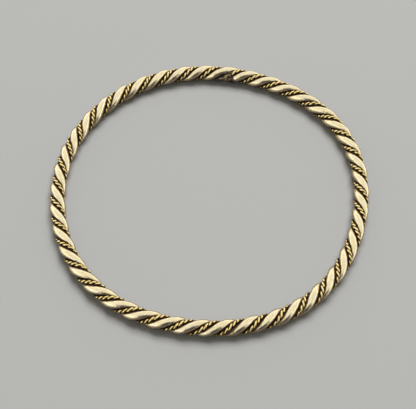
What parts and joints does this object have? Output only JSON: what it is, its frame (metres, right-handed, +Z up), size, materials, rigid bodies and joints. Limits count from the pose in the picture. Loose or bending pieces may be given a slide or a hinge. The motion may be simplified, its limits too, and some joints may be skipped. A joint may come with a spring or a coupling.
{
  "type": "twisted wire bangle",
  "caption": "Closed round bangle of thick silver wires twisted together, with ropes of fine brass wire laid in the grooves between them. It slips over the hand and hangs on the wrist.",
  "frame": {"origin": "bottom centre of the bounding box: the middle of the ring, on the surface that it lies on", "axes": "+Z up, square to the plane of the ring, so the strand's thickness is the height. The soldered joint is 6 degrees from +Y towards +X."},
  "size_m": [0.0717, 0.0717, 0.0036],
  "materials": {
    "silver": "silver wire, satin polished and warm in tone, with fine scratches along it and darker tarnish low in the grooves",
    "brass": "fine twisted brass wire, bright on its crests, with brown-black tarnish between the turns",
    "solder": "dull brown-grey solder, lumpy and oxidised"
  },
  "bodies": {
    "root": {"silver_wire_a": "silver", "silver_wire_b": "silver", "brass_rope_a": "brass", "brass_rope_b": "brass", "solder_joint": "solder"}
  },
  "joints": []
}
